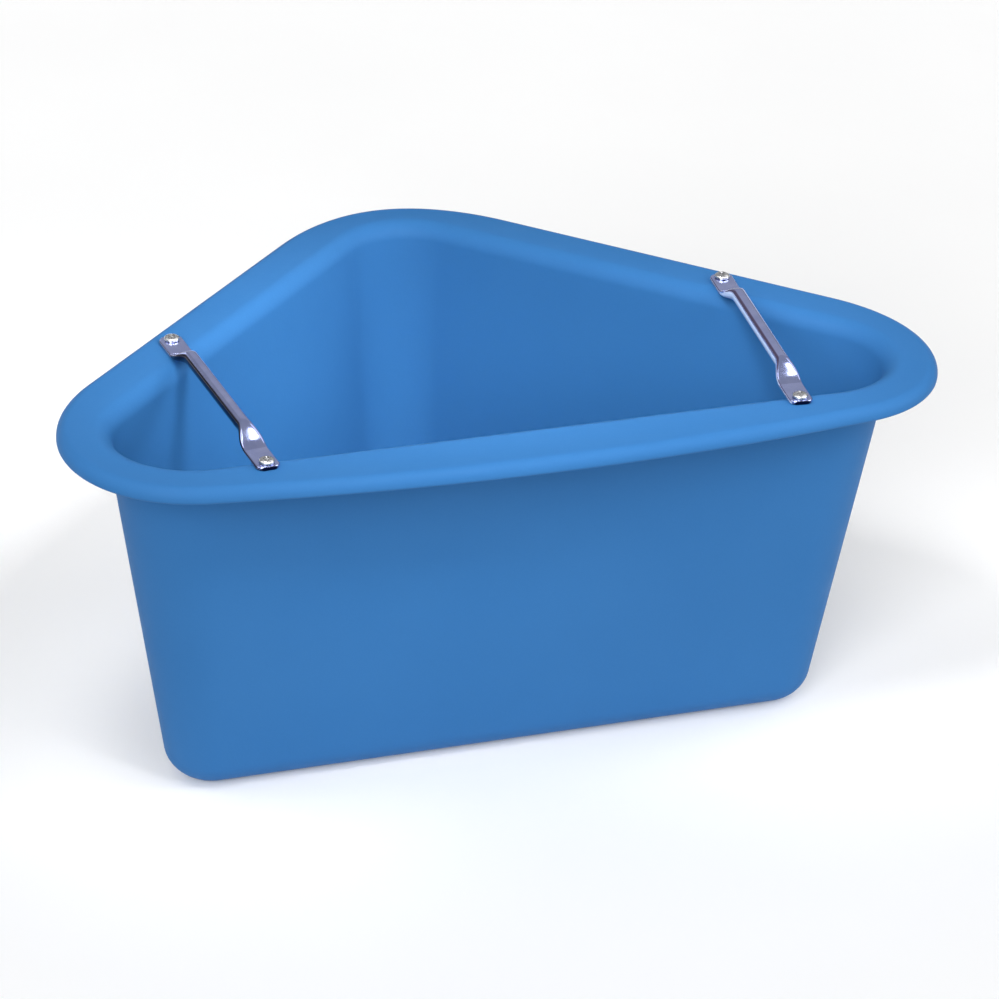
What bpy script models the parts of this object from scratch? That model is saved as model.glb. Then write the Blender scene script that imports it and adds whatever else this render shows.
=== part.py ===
"""Corner feed manger: a moulded tub with a right-angled triangular plan, made to sit in the corner of a
stable, and two steel bars bolted across its acute corners. Metres, +Z up, -Y towards the horse, the
right-angled corner towards +Y. The origin is on the base plane, at the middle of the tub's plan box.
"""

import math

import bpy
import bmesh
import numpy as np

# Tub, overall
TUB_WIDTH = 0.710
TUB_HEIGHT = 0.3155
SHEET = 0.0045

# Plan of the tub body's outer face, measured from the plan's own datum. The front wall is at FRONT_BASE or
# FRONT_TOP along y, and each back wall is BODY_SIDE_BASE or BODY_SIDE_TOP from the datum along its normal.
FRONT_BASE = 0.0225
FRONT_TOP = -0.0210
BODY_SIDE_BASE = 0.2418
BODY_SIDE_TOP = 0.2778
ACUTE_RADIUS_TOP = 0.0670
ACUTE_RADIUS_BASE = 0.0352
APEX_RADIUS_TOP = 0.060
APEX_RADIUS_BASE = 0.045
BASE_FILLET = 0.0238

# Rim: it rolls out of the wall, runs flat and turns down at its edge
RIM_FRONT = -0.0772
RIM_SIDE = 0.3217
CREST_OFFSET = 0.0090
EDGE_ROLL = 0.0090
EDGE_LIP = 0.0032
FRONT_BOW = math.radians(8.0)
RIM_ACUTE_RADII = (0.103, 0.1085, 0.1555)
RIM_APEX_RADII = (0.226, 0.104, 0.226)

# Bars: round tube, pressed flat and drilled at each end
TUBE_RADIUS = 0.006
FLAT_HALF_WIDTH = 0.0095
FLAT_HALF_HEIGHT = 0.0016
TUBE_RISE = 0.0082
FLAT_LENGTH = 0.030
TAPER_LENGTH = 0.028
TIP_OVERRUN = 0.0073
TIP_RADIUS = 0.0055
TIP_START = math.radians(20)
NARROWING_PACE = 1.5
FRONT_BOLT = (0.2143, -0.1950)
REAR_BOLT = (0.2324, 0.0264)

# Fixings: M6 pan-head bolt, plain washer and locking nut with a nylon ring
SHANK_RADIUS = 0.003
HOLE_RADIUS = 0.0033
HEAD_RADIUS = 0.0062
HEAD_HEIGHT = 0.0038
HEAD_RIM = 0.0012
HEAD_DOME_ANGLES = (30, 55, 75)
RECESS_LENGTH = 0.0064
RECESS_WIDTH = 0.0012
RECESS_DEPTH = 0.0020
RECESS_FLARE = 0.4
BOLT_LENGTH = 0.020
BOLT_CHAMFER = 0.0007
WASHER_RADIUS = 0.006
WASHER_THICKNESS = 0.0016
WASHER_CLEARANCE = 0.00045
NUT_FLATS = 0.010
NUT_HEX_HEIGHT = 0.0042
NUT_HEIGHT = 0.0064
NUT_CHAMFER = 0.0005
COLLAR_RADIUS = 0.0047
COLLAR_BORE = 0.0042
CRIMP_BORE = 0.0037
CRIMP_THICKNESS = 0.0004
RING_RADIUS = 0.0039
RING_HEIGHT = 0.0012

GAP = 0.0003
DRILL_REACH = 4 * SHEET
SHARP_ANGLE = math.radians(35)
ROOT2 = math.sqrt(2)

# Sides of the round pieces and of the nuts
ROUND_STEPS = 20
NUT_STEPS = 24

# Steps along each stretch of the plan outline, for half of it
FRONT_STEPS = 5
ACUTE_STEPS = 13
SIDE_STEPS = 3
APEX_STEPS = 6

MATERIALS = {
    "blue_polymer": ((0.036, 0.160, 0.393), 0.50, 0.0),
    "bar_steel": ((0.56, 0.55, 0.86), 0.15, 1.0),
    "zinc_steel": ((0.62, 0.62, 0.63), 0.30, 1.0),
    "nylon": ((0.75, 0.78, 0.80), 0.50, 0.0),
}


def clear_scene():
    for old in list(bpy.data.objects):
        bpy.data.objects.remove(old, do_unlink=True)


def make_materials():
    made = {}
    for name, (colour, roughness, metallic) in MATERIALS.items():
        material = bpy.data.materials.new(name)
        material.use_nodes = True
        shader = material.node_tree.nodes["Principled BSDF"]
        shader.inputs["Base Color"].default_value = (*colour, 1.0)
        shader.inputs["Roughness"].default_value = roughness
        shader.inputs["Metallic"].default_value = metallic
        made[name] = material
    return made


def add_object(name, mesh, material):
    mesh.materials.append(material)
    mesh.shade_smooth()
    mesh.set_sharp_from_angle(angle=SHARP_ANGLE)
    made = bpy.data.objects.new(name, mesh)
    bpy.context.scene.collection.objects.link(made)
    return made


def loft(name, rings, material, closed=False):
    """One solid through rings of equal length. A closed loft joins its last ring to its first, and an
    open one is capped at both ends."""
    body = bmesh.new()
    loops = [[body.verts.new(point) for point in ring] for ring in rings]
    count = len(loops[0])
    pairs = list(zip(loops, loops[1:]))
    if closed:
        pairs.append((loops[-1], loops[0]))
    for lower, upper in pairs:
        for i in range(count):
            j = (i + 1) % count
            body.faces.new((lower[i], lower[j], upper[j], upper[i]))
    if not closed:
        body.faces.new(loops[0][::-1])
        body.faces.new(loops[-1])
    bmesh.ops.recalc_face_normals(body, faces=body.faces)
    mesh = bpy.data.meshes.new(name)
    body.to_mesh(mesh)
    body.free()
    return add_object(name, mesh, material)


def cut(target, cutter):
    cutter.hide_render = True
    cutter.display_type = "WIRE"
    modifier = target.modifiers.new(cutter.name, "BOOLEAN")
    modifier.operation = "DIFFERENCE"
    modifier.solver = "EXACT"
    modifier.object = cutter


def circle(centre, radius, z, steps=ROUND_STEPS):
    angles = np.linspace(0, 2 * math.pi, steps, endpoint=False)
    return [(centre[0] + radius * math.cos(a), centre[1] + radius * math.sin(a), z) for a in angles]


# Plan outlines


def mix(start, end, part):
    return start + (end - start) * part


def turn(start, end, radius_at, steps):
    """A convex corner as points from (0, 0), while its outward normal turns from start to end."""
    fine = 8
    angles = np.linspace(start, end, steps * fine + 1)
    middles = (angles[1:] + angles[:-1]) / 2
    lengths = (angles[1] - angles[0]) * radius_at(middles)
    steps_xy = np.stack([-np.sin(middles), np.cos(middles)], axis=1) * lengths[:, None]
    points = np.vstack([[0.0, 0.0], np.cumsum(steps_xy, axis=0)])
    return points[::fine]


def three_radii(radii, start, end):
    """A radius that runs smoothly through three values as the normal turns from start to end."""
    first, middle, last = radii

    def radius_at(angle):
        part = (angle - start) / (end - start)
        ends = first * (1 - part) * (1 - 2 * part) + last * part * (2 * part - 1)
        return ends + 4 * middle * part * (1 - part)

    return radius_at


def plan_outline(front_y, side, acute_at, apex_at, bow=0.0):
    """The closed outline of a right-angled triangle with rounded corners, symmetric about x = 0. The
    front line bows outwards as an arc whose ends lean by the angle bow."""
    acute = turn(-math.pi / 2 + bow, math.pi / 4, acute_at, ACUTE_STEPS)
    apex = turn(math.pi / 4, math.pi / 2, apex_at, APEX_STEPS)
    lean = math.tan(bow / 2)
    front_end = (ROOT2 * side - front_y - acute[-1].sum()) / (1 + lean)
    if bow:
        angles = np.linspace(0, bow, FRONT_STEPS, endpoint=False)
        arc = front_end / math.sin(bow)
        front = np.stack([arc * np.sin(angles), front_y + arc * (1 - np.cos(angles))], axis=1)
    else:
        along = np.linspace(0, front_end, FRONT_STEPS, endpoint=False)
        front = np.stack([along, np.full(FRONT_STEPS, front_y)], axis=1)
    acute = acute + (front_end, front_y + front_end * lean)
    apex_start = -apex[-1][0]
    apex = apex + (apex_start, ROOT2 * side - apex_start)
    parts = np.linspace(0, 1, SIDE_STEPS, endpoint=False)[1:, None]
    straight = acute[-1] + (apex[0] - acute[-1]) * parts
    half = np.vstack([front, acute, straight, apex])
    other_half = half[1:-1][::-1] * (-1, 1)
    return np.vstack([half, other_half])


def body_outline(z, offset=0.0):
    """The body's outer face at height z, grown outwards by offset."""
    part = z / TUB_HEIGHT
    acute = mix(ACUTE_RADIUS_BASE, ACUTE_RADIUS_TOP, part) + offset
    apex = mix(APEX_RADIUS_BASE, APEX_RADIUS_TOP, part) + offset
    front_y = mix(FRONT_BASE, FRONT_TOP, part) - offset
    side = mix(BODY_SIDE_BASE, BODY_SIDE_TOP, part) + offset
    return plan_outline(front_y, side, lambda a: acute + 0 * a, lambda a: apex + 0 * a)


def rim_outline(offset=0.0):
    """The rim's outer edge, grown outwards by offset."""
    acute_radii = [radius + offset for radius in RIM_ACUTE_RADII]
    apex_radii = [radius + offset for radius in RIM_APEX_RADII]
    acute_at = three_radii(acute_radii, -math.pi / 2 + FRONT_BOW, math.pi / 4)
    apex_at = three_radii(apex_radii, math.pi / 4, 3 * math.pi / 4)
    return plan_outline(RIM_FRONT - offset, RIM_SIDE + offset, acute_at, apex_at, FRONT_BOW)


def datum_shift():
    """How far the plan's datum is behind the middle of the plan box, so a negative number."""
    outline = rim_outline()
    return -(outline[:, 1].min() + outline[:, 1].max()) / 2


def width_scale():
    """Brings the rim's tips to TUB_WIDTH."""
    return TUB_WIDTH / (2 * rim_outline()[:, 0].max())


# Tub


def quarter(steps):
    return np.linspace(0, math.pi / 2, steps + 1)


def base_rings(inset, floor_z):
    """From the flat floor up its fillet to the wall. The inner skin is inset and raised by the sheet."""
    radius = BASE_FILLET - inset
    rings = []
    for angle in quarter(4):
        out = inset + radius * (1 - math.sin(angle))
        z = floor_z + radius * (1 - math.cos(angle))
        rings.append((body_outline(z, -out), z))
    return rings


def roll_rings(inner_radius, steps):
    """The quarter roll from the wall out to the crest, on the skin that has this radius."""
    rings = []
    centre_z = TUB_HEIGHT - CREST_OFFSET - SHEET
    for angle in quarter(steps):
        z = centre_z + inner_radius * math.sin(angle)
        rings.append((body_outline(z, CREST_OFFSET - inner_radius * math.cos(angle)), z))
    return rings


def edge_rings(inset, radius, steps):
    """The rim's turned-down edge, from its flat top outwards and down, on the skin with this radius."""
    rings = []
    centre_z = TUB_HEIGHT - EDGE_ROLL
    for angle in quarter(steps):
        offset = -inset - radius * (1 - math.sin(angle))
        rings.append((rim_outline(offset), centre_z + radius * math.cos(angle)))
    return rings


def make_tub(material):
    outer = base_rings(0.0, 0.0) + roll_rings(CREST_OFFSET, 4)
    outer += edge_rings(SHEET, EDGE_ROLL - SHEET, 2)
    lip_z = TUB_HEIGHT - EDGE_ROLL - EDGE_LIP
    lip = [(rim_outline(-SHEET), lip_z), (rim_outline(), lip_z)]
    inner = edge_rings(0.0, EDGE_ROLL, 4)[::-1]
    inner += roll_rings(CREST_OFFSET + SHEET, 6)[::-1]
    inner += base_rings(SHEET, SHEET)[::-1]
    shift = datum_shift()
    stretch = width_scale()
    rings = []
    for outline, z in outer + lip + inner:
        rings.append([(x * stretch, y + shift, z) for x, y in outline])
    tub = loft("manger_tub", rings, material)
    for corner, centre in bolt_places().items():
        drill(tub, corner + "_rim_hole", centre)


def bolt_places():
    places = {}
    for side, sign in (("left", -1), ("right", 1)):
        for end, (x, y) in (("front", FRONT_BOLT), ("rear", REAR_BOLT)):
            places[f"{side}_{end}"] = (sign * x, y)
    return places


def drill(target, name, centre):
    """A bolt hole through the target, down the bolt's axis."""
    ends = (TUB_HEIGHT - DRILL_REACH, TUB_HEIGHT + DRILL_REACH)
    rings = [circle(centre, HOLE_RADIUS, z) for z in ends]
    cut(target, loft(name, rings, target.data.materials[0]))


# Bars


def smooth_step(part):
    part = min(max(part, 0.0), 1.0)
    return part * part * (3 - 2 * part)


def bar_section(from_tip):
    """Half-width, half-height and rise of the bar's section at a distance from its nearer tip. The flat
    narrows later than it rounds, and both end where the taper does."""
    along_taper = (from_tip - FLAT_LENGTH) / TAPER_LENGTH
    rounding = smooth_step(along_taper)
    narrowing = smooth_step(1 + NARROWING_PACE * (along_taper - 1))
    half_width = mix(FLAT_HALF_WIDTH, TUBE_RADIUS, narrowing)
    half_height = mix(FLAT_HALF_HEIGHT, TUBE_RADIUS, rounding)
    if from_tip < TIP_RADIUS:
        short = TIP_RADIUS - from_tip
        half_width -= TIP_RADIUS - math.sqrt(TIP_RADIUS**2 - short**2)
    return half_width, half_height, TUBE_RISE * rounding


def section_points(half_width, half_height, arc_points=8):
    """A slot-shaped section: two half circles, and the straight lines between them."""
    points = []
    reach = max(half_width - half_height, 0.0)
    for side in (1, -1):
        for i in range(arc_points):
            angle = math.pi * ((i + 0.5) / arc_points - 0.5)
            out = reach + half_height * math.cos(angle)
            points.append((side * out, side * half_height * math.sin(angle)))
    return points


def make_bar(side, sign, material):
    front = np.array([sign * FRONT_BOLT[0], FRONT_BOLT[1]])
    rear = np.array([sign * REAR_BOLT[0], REAR_BOLT[1]])
    along = (rear - front) / np.linalg.norm(rear - front)
    across = np.array([along[1], -along[0]])
    length = np.linalg.norm(rear - front) + 2 * TIP_OVERRUN
    base_z = TUB_HEIGHT + GAP + FLAT_HALF_HEIGHT
    taper = np.linspace(FLAT_LENGTH, FLAT_LENGTH + TAPER_LENGTH, 9)
    tip = [TIP_RADIUS * (1 - math.cos(a)) for a in np.linspace(TIP_START, math.pi / 2, 4)]
    near = [*tip, *taper]
    stations = near + [length - distance for distance in reversed(near)]
    rings = []
    for station in stations:
        half_width, half_height, rise = bar_section(min(station, length - station))
        middle = front + along * (station - TIP_OVERRUN)
        ring = []
        for out, up in section_points(half_width, half_height):
            x, y = middle + across * out
            ring.append((x, y, base_z + rise + up))
        rings.append(ring)
    bar = loft(f"{side}_bar", rings, material)
    for end, place in (("front", front), ("rear", rear)):
        drill(bar, f"{side}_{end}_bar_hole", place)


# Fixings


def turned(name, centre, profile, material, closed=False):
    """A solid of revolution about a vertical axis, from (radius, z) points."""
    rings = [circle(centre, radius, z) for radius, z in profile]
    return loft(name, rings, material, closed)


def cross_recess(corner, centre, top_z):
    """The two crossed slots that a screwdriver fits, as one cutter each. Each is shorter at its bottom and
    longer above the head, by RECESS_FLARE of its length."""
    cutters = []
    levels = ((top_z - RECESS_DEPTH, 1 - RECESS_FLARE), (top_z + HEAD_HEIGHT, 1 + RECESS_FLARE))
    for name in ("across", "along"):
        rings = []
        for z, flare in levels:
            half_length, half_width = RECESS_LENGTH * flare / 2, RECESS_WIDTH / 2
            x, y = (half_length, half_width) if name == "across" else (half_width, half_length)
            corners = ((-x, -y), (x, -y), (x, y), (-x, y))
            rings.append([(centre[0] + cx, centre[1] + cy, z) for cx, cy in corners])
        cutters.append(loft(f"{corner}_recess_{name}", rings, bpy.data.materials["zinc_steel"]))
    return cutters


def make_bolt(corner, centre, material):
    seat = TUB_HEIGHT + 2 * GAP + 2 * FLAT_HALF_HEIGHT
    end = seat - BOLT_LENGTH
    profile = [
        (SHANK_RADIUS - BOLT_CHAMFER, end),
        (SHANK_RADIUS, end + BOLT_CHAMFER),
        (SHANK_RADIUS, seat),
        (HEAD_RADIUS, seat),
        (HEAD_RADIUS, seat + HEAD_RIM),
    ]
    for angle in np.radians(HEAD_DOME_ANGLES):
        radius = HEAD_RADIUS * math.cos(angle)
        profile.append((radius, seat + HEAD_RIM + (HEAD_HEIGHT - HEAD_RIM) * math.sin(angle)))
    bolt = turned(f"{corner}_bolt", centre, profile, material)
    for cutter in cross_recess(corner, centre, seat + HEAD_HEIGHT):
        cut(bolt, cutter)


def washer_top(centre):
    """A washer sits under the rim, lower where its edge reaches inside the crest and meets the roll."""
    front_crest = FRONT_TOP - CREST_OFFSET + datum_shift()
    side_crest = BODY_SIDE_TOP + CREST_OFFSET
    beyond_front = front_crest - centre[1]
    beyond_side = (abs(centre[0]) + centre[1] - datum_shift()) / ROOT2 - side_crest
    inside = max(WASHER_RADIUS - max(beyond_front, beyond_side), 0.0)
    drop = CREST_OFFSET - math.sqrt(CREST_OFFSET**2 - inside**2)
    return TUB_HEIGHT - SHEET - WASHER_CLEARANCE - drop


def make_washer(corner, centre, material):
    top = washer_top(centre)
    low = top - WASHER_THICKNESS
    profile = [(HOLE_RADIUS, top), (HOLE_RADIUS, low), (WASHER_RADIUS, low), (WASHER_RADIUS, top)]
    turned(f"{corner}_washer", centre, profile, material, closed=True)


def nut_ring(centre, z, limit):
    """A hexagon across NUT_FLATS whose corners are turned down to the radius limit."""
    ring = []
    for i in range(NUT_STEPS):
        angle = 2 * math.pi * i / NUT_STEPS
        from_flat = (angle + math.pi / 6) % (math.pi / 3) - math.pi / 6
        radius = min(NUT_FLATS / 2 / math.cos(from_flat), limit)
        ring.append((centre[0] + radius * math.cos(angle), centre[1] + radius * math.sin(angle), z))
    return ring


def make_nut(corner, centre, material):
    top = washer_top(centre) - WASHER_THICKNESS - GAP
    hex_end = top - NUT_HEX_HEIGHT
    end = top - NUT_HEIGHT
    groove_end = end + CRIMP_THICKNESS
    groove_start = groove_end + RING_HEIGHT + 2 * GAP
    corners = NUT_FLATS / ROOT2
    rings = [
        nut_ring(centre, top, NUT_FLATS / 2),
        nut_ring(centre, top - NUT_CHAMFER, corners),
        nut_ring(centre, hex_end + NUT_CHAMFER, corners),
        nut_ring(centre, hex_end, NUT_FLATS / 2),
    ]
    turned_part = [
        (COLLAR_RADIUS, hex_end),
        (COLLAR_RADIUS, end),
        (CRIMP_BORE, end),
        (CRIMP_BORE, groove_end),
        (COLLAR_BORE, groove_end),
        (COLLAR_BORE, groove_start),
        (HOLE_RADIUS, groove_start),
        (HOLE_RADIUS, top),
    ]
    rings += [circle(centre, radius, z, NUT_STEPS) for radius, z in turned_part]
    loft(f"{corner}_nut", rings, material, closed=True)


def make_insert(corner, centre, material):
    low = washer_top(centre) - WASHER_THICKNESS - GAP - NUT_HEIGHT + CRIMP_THICKNESS + GAP
    high = low + RING_HEIGHT
    profile = [(HOLE_RADIUS, high), (HOLE_RADIUS, low), (RING_RADIUS, low), (RING_RADIUS, high)]
    turned(f"{corner}_insert", centre, profile, material, closed=True)


def main():
    clear_scene()
    materials = make_materials()
    make_tub(materials["blue_polymer"])
    for side, sign in (("left", -1), ("right", 1)):
        make_bar(side, sign, materials["bar_steel"])
    for corner, centre in bolt_places().items():
        make_bolt(corner, centre, materials["zinc_steel"])
        make_washer(corner, centre, materials["zinc_steel"])
        make_nut(corner, centre, materials["zinc_steel"])
        make_insert(corner, centre, materials["nylon"])


main()
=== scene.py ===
"""The looks of the corner feed manger: a fine mesh for each CAD piece, procedural materials, a pale floor,
soft light and the camera. Metres, +Z up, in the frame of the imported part.
"""

import math

import bmesh
import bpy
import numpy as np
from mathutils import Matrix, Vector


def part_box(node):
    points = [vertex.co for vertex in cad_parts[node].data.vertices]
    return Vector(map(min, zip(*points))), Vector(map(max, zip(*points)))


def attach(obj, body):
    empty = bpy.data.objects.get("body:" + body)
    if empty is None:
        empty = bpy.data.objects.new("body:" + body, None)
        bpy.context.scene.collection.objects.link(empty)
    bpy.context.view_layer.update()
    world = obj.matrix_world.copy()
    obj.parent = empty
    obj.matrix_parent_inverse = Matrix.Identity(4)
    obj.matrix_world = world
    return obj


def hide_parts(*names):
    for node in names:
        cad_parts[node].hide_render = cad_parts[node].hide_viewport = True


# Tub, as the CAD has it
TUB_WIDTH = 0.710
TUB_HEIGHT = 0.3155
SHEET = 0.0045
FRONT_BASE = 0.0225
FRONT_TOP = -0.0210
BODY_SIDE_BASE = 0.2418
BODY_SIDE_TOP = 0.2778
ACUTE_RADIUS_TOP = 0.0670
ACUTE_RADIUS_BASE = 0.0352
APEX_RADIUS_TOP = 0.060
APEX_RADIUS_BASE = 0.045
BASE_FILLET = 0.0238
RIM_FRONT = -0.0772
RIM_SIDE = 0.3217
CREST_OFFSET = 0.0090
EDGE_ROLL = 0.0090
EDGE_LIP = 0.0032
FRONT_BOW = math.radians(8.0)
RIM_ACUTE_RADII = (0.103, 0.1085, 0.1555)
RIM_APEX_RADII = (0.226, 0.104, 0.226)
FRONT_STEPS = 26
ACUTE_STEPS = 44
SIDE_STEPS = 20
APEX_STEPS = 26
WALL_STEPS = 16
FILLET_STEPS = 10
OUTER_ROLL_STEPS = 8
INNER_ROLL_STEPS = 14
OUTER_EDGE_STEPS = 5
INNER_EDGE_STEPS = 10
LIP_STEPS = 8
RIM_UNDERSIDE_STEPS = 6
RIM_TOP_STEPS = 8
ROOT2 = math.sqrt(2)
SHARP_ANGLE = math.radians(35)

# Bars
TUBE_RADIUS = 0.006
FLAT_HALF_WIDTH = 0.0095
FLAT_HALF_HEIGHT = 0.0016
TUBE_RISE = 0.0082
FLAT_LENGTH = 0.030
TAPER_LENGTH = 0.028
TIP_OVERRUN = 0.0073
TIP_RADIUS = 0.0055
SEAM_DEPTH = 0.00035
SEAM_WIDTH = 0.16  # radians round the section's edge
NARROWING_PACE = 1.5  # how much faster the width changes along the taper than the height
BAR_STATION_GAP = 0.0012
SECTION_ARC_POINTS = 24
TUBE_STEPS = 20
TIP_STEPS = 10
TIP_START = math.radians(12)

# Fixings
SHANK_RADIUS = 0.003
HOLE_RADIUS = 0.0033
HEAD_RADIUS = 0.0062
HEAD_HEIGHT = 0.0038
HEAD_RIM = 0.0012
RECESS_LENGTH = 0.0064
RECESS_WIDTH = 0.0012
RECESS_DEPTH = 0.0020
RECESS_TAPER = (0.6, 1.4)  # of RECESS_LENGTH, at the recess's bottom and well above the head
HEAD_EDGE = 0.0003
DOME_ANGLES = np.radians(np.arange(10, 86, 7.5))
THREAD_PITCH = 0.0010
THREAD_DEPTH = 0.00032
RINGS_PER_THREAD = 8
BOLT_POINT = 0.0007
PLAIN_SHANK = 0.001
WASHER_RADIUS = 0.006
WASHER_EDGE = 0.00025
NUT_FLATS = 0.010
NUT_HEX_HEIGHT = 0.0042
NUT_CHAMFER = 0.0005
CHAMFER_PARTS = (0.0, 0.35, 0.7, 1.0)
COLLAR_RADIUS = 0.0047
COLLAR_BORE = 0.0042
COLLAR_CROWN = 0.0005
CROWN_MIDDLE = 0.3  # a quarter round's middle lies 1 - cos 45 degrees of its radius inside the corner
CRIMP_BORE = 0.0037
CRIMP_THICKNESS = 0.0004
RING_RADIUS = 0.0039
RING_HEIGHT = 0.0012
RING_EDGE = 0.0002
GAP = 0.0003
ROUND_STEPS = 48
CORNERS = ("left_front", "left_rear", "right_front", "right_rear")

# Painted shade: a dark line along each bar's side and round the tips, and a painted pale reflection on the
# right bar's inner side. Each lies where the surface faces a direction, and fades in between two cosines.
PAINTED_SHADE_COLOUR = {"left": (0.020, 0.020, 0.045), "right": (0.24, 0.19, 0.36)}
PAINTED_SHADE_FACING = {"left": ((-0.996, 0.0, -0.087), 0.60, 0.78), "right": ((-0.72, 0.0, 0.69), 0.965, 0.995)}
TIP_SHADE_FACING = ((0.0, -0.9, -0.43), 0.60, 0.85)
PAINTED_REFLECTION_FACING = ((-0.97, 0.0, -0.26), 0.72, 0.84)
PAINTED_REFLECTION_COLOUR = (0.55, 0.66, 0.86)
PAINTED_REFLECTION_METALLIC = 0.15

# Camera, light and floor
CAMERA_PLACE = Vector((-0.9495, -2.9157, 1.7917))
CAMERA_TARGET = Vector((-0.0055, -0.1239, 0.2221))
CAMERA_ROLL = math.radians(1.776)
CAMERA_LENS = 152.81
CAMERA_SENSOR = 36.0
FLOOR_RADIUS = 14.0
FLOOR_STEPS = 96
FLOOR_DROP = 0.0005
FLOOR_GLOW = 0.05
SKY_STRENGTH = 0.35
SKY_LOW = (0.10, (0.75, 0.75, 0.765))
SKY_HIGH = (0.70, (1.0, 1.0, 1.0))
# Each soft sun's name, azimuth from the front, elevation and strength
SOFT_SUNS = (
    ("key_left", -35, 30, 1.97),
    ("key_right", 35, 30, 0.53),
    ("fill_right", 70, 23, 0.94),
    ("side_left", -105, 45, 0.42),
    ("side_right", 105, 45, 0.26),
)
SUN_WIDTH = math.radians(34)
# Each softbox's name, place, target, diameter, spread and power
SOFTBOXES = (
    ("box_apex", (0.0, -0.55, 1.0), (-0.10, 0.12, 0.15), 0.3, 30, 0.51),
    ("box_left_corner", (-0.42, -0.25, 0.95), (-0.24, -0.08, 0.20), 0.3, 35, 0.16),
    ("box_right_corner", (-0.10, -0.35, 1.0), (0.24, -0.06, 0.20), 0.3, 35, 0.30),
    ("box_right", (0.55, -0.55, 0.88), (0.0, 0.06, 0.20), 0.4, 60, 0.29),
)
GLINT_DIRECTION = (0.330, -0.020, 0.944)
GLINT_STRENGTH = 0.050
GLINT_WIDTH = math.radians(7)
CARD_TARGET = (0.0, 0.06, 0.20)
# Each card's name, place, size and power
REFLECTED_CARDS = (
    ("back_card", (-0.80, 1.25, 0.55), (0.50, 0.30), 0.50),
    ("wide_card", (0.70, 2.40, 1.50), (3.20, 1.40), 1.70),
)


# Meshes


def add_object(name, body, material):
    """Turns a bmesh into a smooth-shaded object of the part."""
    bmesh.ops.recalc_face_normals(body, faces=body.faces)
    mesh = bpy.data.meshes.new(name)
    body.to_mesh(mesh)
    body.free()
    mesh.materials.append(material)
    mesh.shade_smooth()
    mesh.set_sharp_from_angle(angle=SHARP_ANGLE)
    made = bpy.data.objects.new(name, mesh)
    bpy.context.scene.collection.objects.link(made)
    return made


def loft(name, rings, material, closed=False):
    """One solid through rings of equal length, capped at both ends unless the loft is closed."""
    body = bmesh.new()
    loops = [[body.verts.new(point) for point in ring] for ring in rings]
    count = len(loops[0])
    pairs = list(zip(loops, loops[1:]))
    if closed:
        pairs.append((loops[-1], loops[0]))
    for lower, upper in pairs:
        for i in range(count):
            j = (i + 1) % count
            body.faces.new((lower[i], lower[j], upper[j], upper[i]))
    if not closed:
        body.faces.new(loops[0][::-1])
        body.faces.new(loops[-1])
    return add_object(name, body, material)


def subtract(target, cutters):
    """Cuts the cutters out of the target and removes them."""
    for cutter in cutters:
        modifier = target.modifiers.new(cutter.name, "BOOLEAN")
        modifier.operation = "DIFFERENCE"
        modifier.solver = "EXACT"
        modifier.object = cutter
    depsgraph = bpy.context.evaluated_depsgraph_get()
    solid = bpy.data.meshes.new_from_object(target.evaluated_get(depsgraph))
    target.modifiers.clear()
    target.data = solid
    for cutter in cutters:
        bpy.data.objects.remove(cutter, do_unlink=True)
    solid.shade_smooth()
    solid.set_sharp_from_angle(angle=SHARP_ANGLE)


def finish_piece(piece, node):
    """Fixes a piece to the part in place of a CAD node."""
    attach(piece, "root")
    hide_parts(node)


def circle(centre, radius, z):
    angles = np.linspace(0, 2 * math.pi, ROUND_STEPS, endpoint=False)
    return [(centre[0] + radius * math.cos(a), centre[1] + radius * math.sin(a), z) for a in angles]


def mix(start, end, part):
    return start + (end - start) * part


def smooth_step(part):
    part = min(max(part, 0.0), 1.0)
    return part * part * (3 - 2 * part)


def quarter(steps):
    return np.linspace(0, math.pi / 2, steps + 1)


# Plan outlines, as the CAD makes them


def turn(start, end, radius_at, steps):
    """A convex corner as points from (0, 0), while its outward normal turns from start to end."""
    fine = 4
    angles = np.linspace(start, end, steps * fine + 1)
    middles = (angles[1:] + angles[:-1]) / 2
    lengths = (angles[1] - angles[0]) * radius_at(middles)
    steps_xy = np.stack([-np.sin(middles), np.cos(middles)], axis=1) * lengths[:, None]
    points = np.vstack([[0.0, 0.0], np.cumsum(steps_xy, axis=0)])
    return points[::fine]


def three_radii(radii, start, end):
    """A radius that runs smoothly through three values as the normal turns from start to end."""
    first, middle, last = radii

    def radius_at(angle):
        part = (angle - start) / (end - start)
        ends = first * (1 - part) * (1 - 2 * part) + last * part * (2 * part - 1)
        return ends + 4 * middle * part * (1 - part)

    return radius_at


def plan_outline(front_y, side, acute_at, apex_at, bow=0.0):
    """The closed outline of a right-angled triangle with rounded corners, symmetric about x = 0."""
    acute = turn(-math.pi / 2 + bow, math.pi / 4, acute_at, ACUTE_STEPS)
    apex = turn(math.pi / 4, math.pi / 2, apex_at, APEX_STEPS)
    lean = math.tan(bow / 2)
    front_end = (ROOT2 * side - front_y - acute[-1].sum()) / (1 + lean)
    if bow:
        angles = np.linspace(0, bow, FRONT_STEPS, endpoint=False)
        arc = front_end / math.sin(bow)
        front = np.stack([arc * np.sin(angles), front_y + arc * (1 - np.cos(angles))], axis=1)
    else:
        along = np.linspace(0, front_end, FRONT_STEPS, endpoint=False)
        front = np.stack([along, np.full(FRONT_STEPS, front_y)], axis=1)
    acute = acute + (front_end, front_y + front_end * lean)
    apex_start = -apex[-1][0]
    apex = apex + (apex_start, ROOT2 * side - apex_start)
    parts = np.linspace(0, 1, SIDE_STEPS, endpoint=False)[1:, None]
    straight = acute[-1] + (apex[0] - acute[-1]) * parts
    half = np.vstack([front, acute, straight, apex])
    return np.vstack([half, half[1:-1][::-1] * (-1, 1)])


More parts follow.
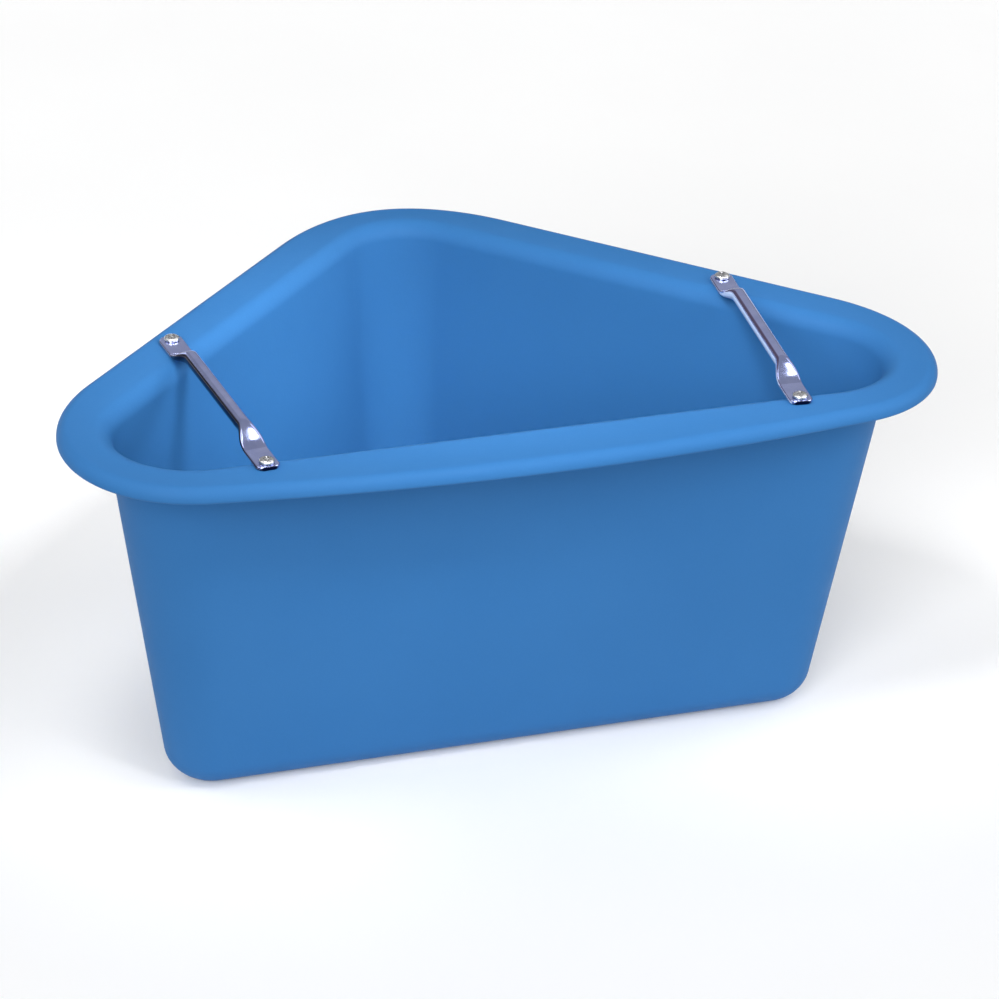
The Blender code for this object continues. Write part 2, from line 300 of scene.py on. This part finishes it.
def body_outline(z, offset=0.0):
    """The body's outer face at height z, grown outwards by offset."""
    part = z / TUB_HEIGHT
    acute = mix(ACUTE_RADIUS_BASE, ACUTE_RADIUS_TOP, part) + offset
    apex = mix(APEX_RADIUS_BASE, APEX_RADIUS_TOP, part) + offset
    front_y = mix(FRONT_BASE, FRONT_TOP, part) - offset
    side = mix(BODY_SIDE_BASE, BODY_SIDE_TOP, part) + offset
    return plan_outline(front_y, side, lambda a: acute + 0 * a, lambda a: apex + 0 * a)


def rim_outline(offset=0.0):
    """The rim's outer edge, grown outwards by offset."""
    acute_radii = [radius + offset for radius in RIM_ACUTE_RADII]
    apex_radii = [radius + offset for radius in RIM_APEX_RADII]
    acute_at = three_radii(acute_radii, -math.pi / 2 + FRONT_BOW, math.pi / 4)
    apex_at = three_radii(apex_radii, math.pi / 4, 3 * math.pi / 4)
    return plan_outline(RIM_FRONT - offset, RIM_SIDE + offset, acute_at, apex_at, FRONT_BOW)


# Tub


def base_rings(inset, floor_z, steps):
    """The fillet from the flat floor out to the wall, on the skin that lies inset from the outer one."""
    radius = BASE_FILLET - inset
    rings = []
    for angle in quarter(steps):
        out = inset + radius * (1 - math.sin(angle))
        z = floor_z + radius * (1 - math.cos(angle))
        rings.append((body_outline(z, -out), z))
    return rings


def roll_rings(radius, steps):
    """The quarter roll from the wall out to the crest, on the skin that has this radius."""
    rings = []
    centre_z = TUB_HEIGHT - CREST_OFFSET - SHEET
    for angle in quarter(steps):
        z = centre_z + radius * math.sin(angle)
        rings.append((body_outline(z, CREST_OFFSET - radius * math.cos(angle)), z))
    return rings


def edge_rings(inset, radius, steps):
    """The rim's turned-down edge, from its flat top outwards and down."""
    rings = []
    centre_z = TUB_HEIGHT - EDGE_ROLL
    for angle in quarter(steps):
        offset = -inset - radius * (1 - math.sin(angle))
        rings.append((rim_outline(offset), centre_z + radius * math.cos(angle)))
    return rings


def between(first, last, steps):
    """The rings strictly between two, spaced evenly."""
    rings = []
    for part in np.linspace(0, 1, steps + 1)[1:-1]:
        outline = mix(first[0], last[0], part)
        rings.append((outline, mix(first[1], last[1], part)))
    return rings


def lip_rings():
    """The rim's free edge, rounded over the sheet's thickness."""
    end_z = TUB_HEIGHT - EDGE_ROLL - EDGE_LIP
    half = SHEET / 2
    rings = []
    for angle in np.linspace(0, math.pi, LIP_STEPS + 1):
        offset = -half - half * math.cos(angle)
        rings.append((rim_outline(offset), end_z + half * (1 - math.sin(angle))))
    return rings


def tub_rings():
    """Every ring of the tub's skin, from the middle of its underside out, over the rim and down inside."""
    outer_base = base_rings(0.0, 0.0, FILLET_STEPS)
    outer_roll = roll_rings(CREST_OFFSET, OUTER_ROLL_STEPS)
    outer_edge = edge_rings(SHEET, EDGE_ROLL - SHEET, OUTER_EDGE_STEPS)
    inner_edge = edge_rings(0.0, EDGE_ROLL, INNER_EDGE_STEPS)[::-1]
    inner_roll = roll_rings(CREST_OFFSET + SHEET, INNER_ROLL_STEPS)[::-1]
    inner_base = base_rings(SHEET, SHEET, FILLET_STEPS)[::-1]
    rings = outer_base + between(outer_base[-1], outer_roll[0], WALL_STEPS) + outer_roll
    rings += between(outer_roll[-1], outer_edge[0], RIM_UNDERSIDE_STEPS) + outer_edge + lip_rings()
    rings += inner_edge + between(inner_edge[-1], inner_roll[0], RIM_TOP_STEPS) + inner_roll
    rings += between(inner_roll[-1], inner_base[0], WALL_STEPS) + inner_base
    return rings


def make_tub(places, material):
    """The tub, centred between its front and back edges and made exactly TUB_WIDTH wide."""
    rim = rim_outline()
    shift = -(rim[:, 1].min() + rim[:, 1].max()) / 2
    stretch = TUB_WIDTH / (2 * rim[:, 0].max())
    rings = []
    for outline, z in tub_rings():
        rings.append([(x * stretch, y + shift, z) for x, y in outline])
    tub = loft("tub_shell", rings, material)
    holes = [drill(corner + "_rim_hole", places[corner], material) for corner in CORNERS]
    subtract(tub, holes)
    finish_piece(tub, "manger_tub")


def drill(name, centre, material):
    """A cutter for one bolt hole, through both the rim and the bar."""
    reach = 4 * SHEET
    rings = [circle(centre, HOLE_RADIUS, TUB_HEIGHT - reach), circle(centre, HOLE_RADIUS, TUB_HEIGHT + reach)]
    return loft(name, rings, material)


# Bars


def bar_section(from_tip):
    """Half-width, half-height and rise of the bar's section at a distance from its nearer tip."""
    rounding = smooth_step((from_tip - FLAT_LENGTH) / TAPER_LENGTH)
    narrowing = smooth_step(NARROWING_PACE * (from_tip - FLAT_LENGTH) / TAPER_LENGTH - (NARROWING_PACE - 1))
    half_width = mix(FLAT_HALF_WIDTH, TUBE_RADIUS, narrowing)
    half_height = mix(FLAT_HALF_HEIGHT, TUBE_RADIUS, rounding)
    if from_tip < TIP_RADIUS:
        short = TIP_RADIUS - from_tip
        half_width -= TIP_RADIUS - math.sqrt(TIP_RADIUS**2 - short**2)
    return half_width, half_height, TUBE_RISE * rounding


def section_points(half_width, half_height, seam):
    """A slot-shaped section. Where the tube is pressed flat, its two edges show the seam between layers."""
    points = []
    reach = max(half_width - half_height, 0.0)
    for side in (1, -1):
        for i in range(SECTION_ARC_POINTS):
            angle = math.pi * ((i + 0.5) / SECTION_ARC_POINTS - 0.5)
            groove = seam * math.exp(-((angle / SEAM_WIDTH) ** 2))
            out = reach + half_height * math.cos(angle) - groove
            points.append((side * out, side * half_height * math.sin(angle)))
    return points


def bar_stations(length):
    """Distances along the bar: close together round its tips and tapers, and further apart on the tube."""
    tip = [TIP_RADIUS * (1 - math.cos(a)) for a in np.linspace(TIP_START, math.pi / 2, TIP_STEPS)]
    taper_end = FLAT_LENGTH + TAPER_LENGTH
    count = int((taper_end - TIP_RADIUS) / BAR_STATION_GAP)
    near = tip + list(np.linspace(TIP_RADIUS, taper_end, count)[1:])
    middle = list(np.linspace(taper_end, length - taper_end, TUBE_STEPS)[1:-1])
    return near + middle + [length - distance for distance in reversed(near)]


def make_bar(side, places, material):
    """One bar, from beyond its front bolt to beyond its rear one."""
    front = np.array(places[side + "_front"])
    rear = np.array(places[side + "_rear"])
    along = (rear - front) / np.linalg.norm(rear - front)
    across = np.array([along[1], -along[0]])
    length = np.linalg.norm(rear - front) + 2 * TIP_OVERRUN
    base_z = TUB_HEIGHT + GAP + FLAT_HALF_HEIGHT
    rings = []
    for station in bar_stations(length):
        from_tip = min(station, length - station)
        half_width, half_height, rise = bar_section(from_tip)
        seam = SEAM_DEPTH * (1 - smooth_step((from_tip - FLAT_LENGTH) / TAPER_LENGTH))
        middle = front + along * (station - TIP_OVERRUN)
        ring = []
        for out, up in section_points(half_width, half_height, seam):
            x, y = middle + across * out
            ring.append((x, y, base_z + rise + up))
        rings.append(ring)
    bar = loft(side + "_bar_tube", rings, material)
    holes = [drill(side + end + "_bar_hole", places[side + end], material) for end in ("_front", "_rear")]
    subtract(bar, holes)
    finish_piece(bar, side + "_bar")


# Fixings


def turned(name, centre, profile, material, closed=False):
    """A solid of revolution about a vertical axis, from (radius, z) points."""
    return loft(name, [circle(centre, radius, z) for radius, z in profile], material, closed)


def thread_ring(centre, z):
    """One ring of a screw thread, which climbs by THREAD_PITCH in each turn."""
    ring = []
    for i in range(ROUND_STEPS):
        angle = 2 * math.pi * i / ROUND_STEPS
        phase = (z / THREAD_PITCH - angle / (2 * math.pi)) % 1.0
        radius = SHANK_RADIUS - THREAD_DEPTH * abs(2 * phase - 1)
        ring.append((centre[0] + radius * math.cos(angle), centre[1] + radius * math.sin(angle), z))
    return ring


def cross_recess(corner, centre, top_z, material):
    """The two crossed slots of a bolt head, as cutters whose ends lean in towards the bottom."""
    cutters = []
    for number, turned_by in enumerate((0, math.pi / 2)):
        rings = []
        for z, part in zip((top_z - RECESS_DEPTH, top_z + HEAD_HEIGHT), RECESS_TAPER):
            x, y = RECESS_LENGTH * part / 2, RECESS_WIDTH / 2
            ring = []
            for cx, cy in ((-x, -y), (x, -y), (x, y), (-x, y)):
                px = cx * math.cos(turned_by) - cy * math.sin(turned_by)
                py = cx * math.sin(turned_by) + cy * math.cos(turned_by)
                ring.append((centre[0] + px, centre[1] + py, z))
            rings.append(ring)
        cutters.append(loft(f"{corner}_recess_{number + 1}", rings, material))
    return cutters


def make_bolt(corner, centre, material):
    """A threaded shank under a domed head, whose seat is the top of the bar's flat."""
    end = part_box(corner + "_bolt")[0].z
    seat = TUB_HEIGHT + 2 * GAP + 2 * FLAT_HALF_HEIGHT
    thread_start = end + BOLT_POINT
    thread_top = seat - PLAIN_SHANK
    count = int((thread_top - end - BOLT_POINT) / (THREAD_PITCH / RINGS_PER_THREAD))
    rings = [circle(centre, SHANK_RADIUS - BOLT_POINT, end)]
    rings += [thread_ring(centre, z) for z in np.linspace(thread_start, thread_top, count)]
    rings.append(circle(centre, SHANK_RADIUS, seat))
    profile = [
        (HEAD_RADIUS - HEAD_EDGE, seat),
        (HEAD_RADIUS, seat + HEAD_EDGE),
        (HEAD_RADIUS, seat + HEAD_RIM),
    ]
    for angle in DOME_ANGLES:
        radius = HEAD_RADIUS * math.cos(angle)
        profile.append((radius, seat + HEAD_RIM + (HEAD_HEIGHT - HEAD_RIM) * math.sin(angle)))
    rings += [circle(centre, radius, z) for radius, z in profile]
    bolt = loft(corner + "_bolt_body", rings, material)
    subtract(bolt, cross_recess(corner, centre, seat + HEAD_HEIGHT, material))
    finish_piece(bolt, corner + "_bolt")


def make_washer(corner, centre, material):
    """A plain washer under the rim, with its outer edges broken."""
    low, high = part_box(corner + "_washer")
    edge = WASHER_EDGE
    profile = [
        (HOLE_RADIUS, high.z),
        (HOLE_RADIUS, low.z),
        (WASHER_RADIUS - edge, low.z),
        (WASHER_RADIUS, low.z + edge),
        (WASHER_RADIUS, high.z - edge),
        (WASHER_RADIUS - edge, high.z),
    ]
    washer = turned(corner + "_washer_disc", centre, profile, material, closed=True)
    finish_piece(washer, corner + "_washer")


def nut_ring(centre, z, limit):
    """A hexagon across NUT_FLATS whose corners are turned down to the radius limit."""
    ring = []
    for i in range(ROUND_STEPS):
        angle = 2 * math.pi * i / ROUND_STEPS
        from_flat = (angle + math.pi / 6) % (math.pi / 3) - math.pi / 6
        radius = min(NUT_FLATS / 2 / math.cos(from_flat), limit)
        ring.append((centre[0] + radius * math.cos(angle), centre[1] + radius * math.sin(angle), z))
    return ring


def make_nut(corner, centre, material):
    """A locking nut: a hexagon on top and a round collar below it, which is crimped in under the nylon ring."""
    low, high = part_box(corner + "_nut")
    top = high.z
    end = low.z
    hex_end = top - NUT_HEX_HEIGHT
    groove_end = end + CRIMP_THICKNESS
    groove_start = groove_end + RING_HEIGHT + 2 * GAP
    corners = NUT_FLATS / 2 / math.cos(math.pi / 6)
    limits = [mix(NUT_FLATS / 2, corners, part) for part in CHAMFER_PARTS]
    steps = list(zip(CHAMFER_PARTS, limits))
    rings = [nut_ring(centre, top - NUT_CHAMFER * part, limit) for part, limit in steps]
    rings += [nut_ring(centre, hex_end + NUT_CHAMFER * part, limit) for part, limit in reversed(steps)]
    middle = COLLAR_CROWN * CROWN_MIDDLE
    turned_part = [
        (COLLAR_RADIUS, hex_end),
        (COLLAR_RADIUS, end + COLLAR_CROWN),
        (COLLAR_RADIUS - middle, end + middle),
        (COLLAR_RADIUS - COLLAR_CROWN, end),
        (CRIMP_BORE, end),
        (CRIMP_BORE, groove_end),
        (COLLAR_BORE, groove_end),
        (COLLAR_BORE, groove_start),
        (HOLE_RADIUS, groove_start),
        (HOLE_RADIUS, top),
    ]
    rings += [circle(centre, radius, z) for radius, z in turned_part]
    nut = loft(corner + "_nut_body", rings, material, closed=True)
    finish_piece(nut, corner + "_nut")


def make_insert(corner, centre, material):
    """The nut's nylon ring, rounded where it faces down."""
    low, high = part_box(corner + "_insert")
    edge = RING_EDGE
    profile = [
        (HOLE_RADIUS, high.z),
        (HOLE_RADIUS, low.z + edge),
        (HOLE_RADIUS + edge, low.z),
        (RING_RADIUS - edge, low.z),
        (RING_RADIUS, low.z + edge),
        (RING_RADIUS, high.z),
    ]
    ring = turned(corner + "_insert_ring", centre, profile, material, closed=True)
    finish_piece(ring, corner + "_insert")


# Materials


class Graph:
    """Short ways to add shader nodes to one material."""

    def __init__(self, name):
        self.material = bpy.data.materials.new(name)
        self.material.use_nodes = True
        self.nodes = self.material.node_tree.nodes
        self.links = self.material.node_tree.links
        self.shader = self.nodes["Principled BSDF"]
        self.coordinates = self.nodes.new("ShaderNodeTexCoord")
        self.place = self.coordinates.outputs["Object"]

    def noise(self, scale, detail):
        made = self.nodes.new("ShaderNodeTexNoise")
        made.inputs["Scale"].default_value = scale
        made.inputs["Detail"].default_value = detail
        self.links.new(self.place, made.inputs["Vector"])
        return made.outputs["Fac"]

    def ramp(self, source, low, high, start=0.3, end=0.7):
        """Maps source from start..end to low..high, which are both numbers or both colours."""
        if isinstance(low, (int, float)):
            made = self.nodes.new("ShaderNodeMapRange")
            for key, value in (("From Min", start), ("From Max", end), ("To Min", low), ("To Max", high)):
                made.inputs[key].default_value = value
            self.links.new(source, made.inputs["Value"])
            return made.outputs["Result"]
        made = self.nodes.new("ShaderNodeValToRGB")
        made.color_ramp.elements[0].position = start
        made.color_ramp.elements[1].position = end
        made.color_ramp.elements[0].color = (*low, 1.0)
        made.color_ramp.elements[1].color = (*high, 1.0)
        self.links.new(source, made.inputs["Fac"])
        return made.outputs["Color"]

    def facing(self, direction, start, end):
        """From 0 to 1 as the surface turns towards a direction of the part, by the cosine between them."""
        made = self.nodes.new("ShaderNodeVectorMath")
        made.operation = "DOT_PRODUCT"
        made.inputs[1].default_value = Vector(direction).normalized()
        self.links.new(self.coordinates.outputs["Normal"], made.inputs[0])
        reach = self.ramp(made.outputs["Value"], 0.0, 1.0, start, end)
        reach.node.interpolation_type = "SMOOTHSTEP"
        return reach

    def blend(self, part, first, second):
        """From one colour to a second one, which may be a constant."""
        made = self.nodes.new("ShaderNodeMix")
        made.data_type = "RGBA"
        self.links.new(part, made.inputs[0])
        self.links.new(first, made.inputs[6])
        made.inputs[7].default_value = (*second, 1.0)
        return made.outputs[2]

    def multiply(self, first, second):
        made = self.nodes.new("ShaderNodeMix")
        made.data_type = "RGBA"
        made.blend_type = "MULTIPLY"
        made.inputs[0].default_value = 1.0
        self.links.new(first, made.inputs[6])
        self.links.new(second, made.inputs[7])
        return made.outputs[2]

    def bump(self, source, distance, strength, below=None):
        made = self.nodes.new("ShaderNodeBump")
        made.inputs["Distance"].default_value = distance
        made.inputs["Strength"].default_value = strength
        self.links.new(source, made.inputs["Height"])
        if below is not None:
            self.links.new(below, made.inputs["Normal"])
        return made.outputs["Normal"]

    def to(self, name, source):
        self.links.new(source, self.shader.inputs[name])

    def set(self, **values):
        for name, value in values.items():
            self.shader.inputs[name.replace("_", " ")].default_value = value


def blue_polymer():
    """Moulded polymer: even colour with a faint cloudiness, a satin skin and a fine orange peel."""
    g = Graph("blue_polymer")
    clouds = g.ramp(g.noise(7.0, 4.0), (0.0288, 0.132, 0.335), (0.0318, 0.1395, 0.348))
    specks = g.ramp(g.noise(900.0, 1.0), (0.97, 0.97, 0.97), (1.0, 1.0, 1.0))
    g.to("Base Color", g.multiply(clouds, specks))
    g.to("Roughness", g.ramp(g.noise(22.0, 5.0), 0.44, 0.56))
    waves = g.bump(g.noise(14.0, 2.0), 0.0012, 0.25)
    g.to("Normal", g.bump(g.noise(420.0, 2.0), 0.0002, 0.30, waves))
    g.set(IOR=1.49, Specular_IOR_Level=0.05)
    return g.material


def bar_steel(side):
    """Bright plated tube with a little haze. A dark line of painted shade runs along each tube where it faces
    out and down on the left bar and up on the right one, and painted shade darkens the tips. A painted pale
    reflection, less metallic, covers the right bar's inner side."""
    g = Graph(side + "_bar_steel")
    plating = g.ramp(g.noise(60.0, 4.0), (0.44, 0.50, 0.88), (0.54, 0.60, 0.98))
    if side == "right":
        # The pale band on the right bar's inner side is a painted reflection, with less metal in it.
        painted_reflection_band = g.facing(*PAINTED_REFLECTION_FACING)
        plating = g.blend(painted_reflection_band, plating, PAINTED_REFLECTION_COLOUR)
        g.to("Metallic", g.ramp(painted_reflection_band, 1.0, PAINTED_REFLECTION_METALLIC, 0.0, 1.0))
    # Painted shade: a dark line along the bar's side, and dark round its tips.
    with_painted_shade = g.blend(g.facing(*PAINTED_SHADE_FACING[side]), plating, PAINTED_SHADE_COLOUR[side])
    g.to("Base Color", g.blend(g.facing(*TIP_SHADE_FACING), with_painted_shade, PAINTED_SHADE_COLOUR["left"]))
    g.to("Roughness", g.ramp(g.noise(140.0, 5.0), 0.08, 0.17))
    g.to("Normal", g.bump(g.noise(300.0, 3.0), 0.0001, 0.25))
    g.set(Metallic=1.0)
    return g.material


def zinc_steel():
    """Bright zinc plating with a slightly mottled surface."""
    g = Graph("zinc_steel")
    g.to("Base Color", g.ramp(g.noise(500.0, 4.0), (0.58, 0.58, 0.60), (0.72, 0.72, 0.73)))
    g.to("Roughness", g.ramp(g.noise(700.0, 4.0), 0.18, 0.36))
    g.to("Normal", g.bump(g.noise(1500.0, 2.0), 0.00005, 0.3))
    g.set(Metallic=1.0)
    return g.material


def nylon():
    """Natural nylon, off-white and slightly translucent."""
    g = Graph("nylon")
    g.to("Base Color", g.ramp(g.noise(400.0, 3.0), (0.68, 0.70, 0.71), (0.76, 0.78, 0.79)))
    g.to("Roughness", g.ramp(g.noise(600.0, 3.0), 0.42, 0.55))
    g.set(Subsurface_Weight=0.2, Subsurface_Scale=0.001)
    return g.material


def floor_material():
    """A pale matt floor with a faint glow, which keeps it nearly white without lighting the part more."""
    g = Graph("pale_floor")
    g.to("Base Color", g.ramp(g.noise(3.0, 3.0), (0.93, 0.93, 0.93), (0.95, 0.95, 0.95)))
    g.to("Roughness", g.ramp(g.noise(30.0, 3.0), 0.80, 0.90))
    g.set(Specular_IOR_Level=0.1, Emission_Color=(1.0, 1.0, 1.0, 1.0), Emission_Strength=FLOOR_GLOW)
    return g.material


# Stage, light and camera


def make_floor():
    """The floor lies FLOOR_DROP under the base, so that the two faces never coincide."""
    body = bmesh.new()
    bmesh.ops.create_circle(body, cap_ends=True, segments=FLOOR_STEPS, radius=FLOOR_RADIUS)
    floor = add_object("pale_floor", body, floor_material())
    floor.location.z = -FLOOR_DROP


def make_world():
    """A soft white sky, a quarter dimmer at the horizon than overhead."""
    world = bpy.data.worlds.new("studio")
    world.use_nodes = True
    nodes = world.node_tree.nodes
    links = world.node_tree.links
    place = nodes.new("ShaderNodeTexCoord")
    split = nodes.new("ShaderNodeSeparateXYZ")
    ramp = nodes.new("ShaderNodeValToRGB")
    for element, (position, colour) in zip(ramp.color_ramp.elements, (SKY_LOW, SKY_HIGH)):
        element.position = position
        element.color = (*colour, 1.0)
    links.new(place.outputs["Generated"], split.inputs["Vector"])
    links.new(split.outputs["Z"], ramp.inputs["Fac"])
    links.new(ramp.outputs["Color"], nodes["Background"].inputs["Color"])
    nodes["Background"].inputs["Strength"].default_value = SKY_STRENGTH
    bpy.context.scene.world = world


def add_light(name, data, direction, place=(0, 0, 0)):
    """Places a light that shines against the given direction and that the camera can't see."""
    light = bpy.data.objects.new(name, data)
    light.location = place
    light.rotation_euler = direction.to_track_quat("Z", "Y").to_euler()
    light.visible_camera = False
    bpy.context.scene.collection.objects.link(light)
    return light


def make_lights():
    """Soft suns and softboxes light the part. The glint and the cards are seen only in reflections."""
    for name, azimuth, elevation, strength in SOFT_SUNS:
        data = bpy.data.lights.new(name, "SUN")
        data.energy = strength
        data.angle = SUN_WIDTH
        across, up = math.radians(azimuth), math.radians(elevation)
        level = math.cos(up)
        add_light(name, data, Vector((level * math.sin(across), -level * math.cos(across), math.sin(up))))
    glint = bpy.data.lights.new("glint", "SUN")
    glint.energy = GLINT_STRENGTH
    glint.angle = GLINT_WIDTH
    add_light("glint", glint, Vector(GLINT_DIRECTION)).visible_diffuse = False
    for name, place, size, power in REFLECTED_CARDS:
        card = bpy.data.lights.new(name, "AREA")
        card.shape = "RECTANGLE"
        card.size, card.size_y = size
        card.energy = power
        add_light(name, card, Vector(place) - Vector(CARD_TARGET), place).visible_diffuse = False
    for name, place, target, size, spread, power in SOFTBOXES:
        data = bpy.data.lights.new(name, "AREA")
        data.shape = "DISK"
        data.size = size
        data.spread = math.radians(spread)
        data.energy = power
        add_light(name, data, Vector(place) - Vector(target), place)


def make_camera():
    """The camera, which looks down at the front from its left."""
    data = bpy.data.cameras.new("camera")
    data.lens = CAMERA_LENS
    data.sensor_width = CAMERA_SENSOR
    camera = bpy.data.objects.new("camera", data)
    aim = (CAMERA_PLACE - CAMERA_TARGET).to_track_quat("Z", "Y").to_matrix().to_4x4()
    camera.matrix_world = Matrix.Translation(CAMERA_PLACE) @ aim @ Matrix.Rotation(CAMERA_ROLL, 4, "Z")
    bpy.context.scene.collection.objects.link(camera)
    bpy.context.scene.camera = camera


def bolt_places():
    """The axis of each bolt, from the CAD node's own box."""
    places = {}
    for corner in CORNERS:
        low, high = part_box(corner + "_bolt")
        places[corner] = ((low.x + high.x) / 2, (low.y + high.y) / 2)
    return places


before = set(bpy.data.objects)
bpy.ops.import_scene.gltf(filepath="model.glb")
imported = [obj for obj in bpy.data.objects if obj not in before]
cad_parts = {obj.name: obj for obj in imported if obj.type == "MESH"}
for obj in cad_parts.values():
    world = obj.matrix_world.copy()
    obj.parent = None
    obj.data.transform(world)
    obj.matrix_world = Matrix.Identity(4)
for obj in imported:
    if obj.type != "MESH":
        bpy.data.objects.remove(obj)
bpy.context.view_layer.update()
make_camera()
make_world()
make_lights()
make_floor()
bpy.context.scene.view_settings.view_transform = "Standard"

places = bolt_places()
polymer = blue_polymer()
zinc = zinc_steel()
white = nylon()
make_tub(places, polymer)
for side in ("left", "right"):
    make_bar(side, places, bar_steel(side))
for corner, centre in places.items():
    make_bolt(corner, centre, zinc)
    make_washer(corner, centre, zinc)
    make_nut(corner, centre, zinc)
    make_insert(corner, centre, white)
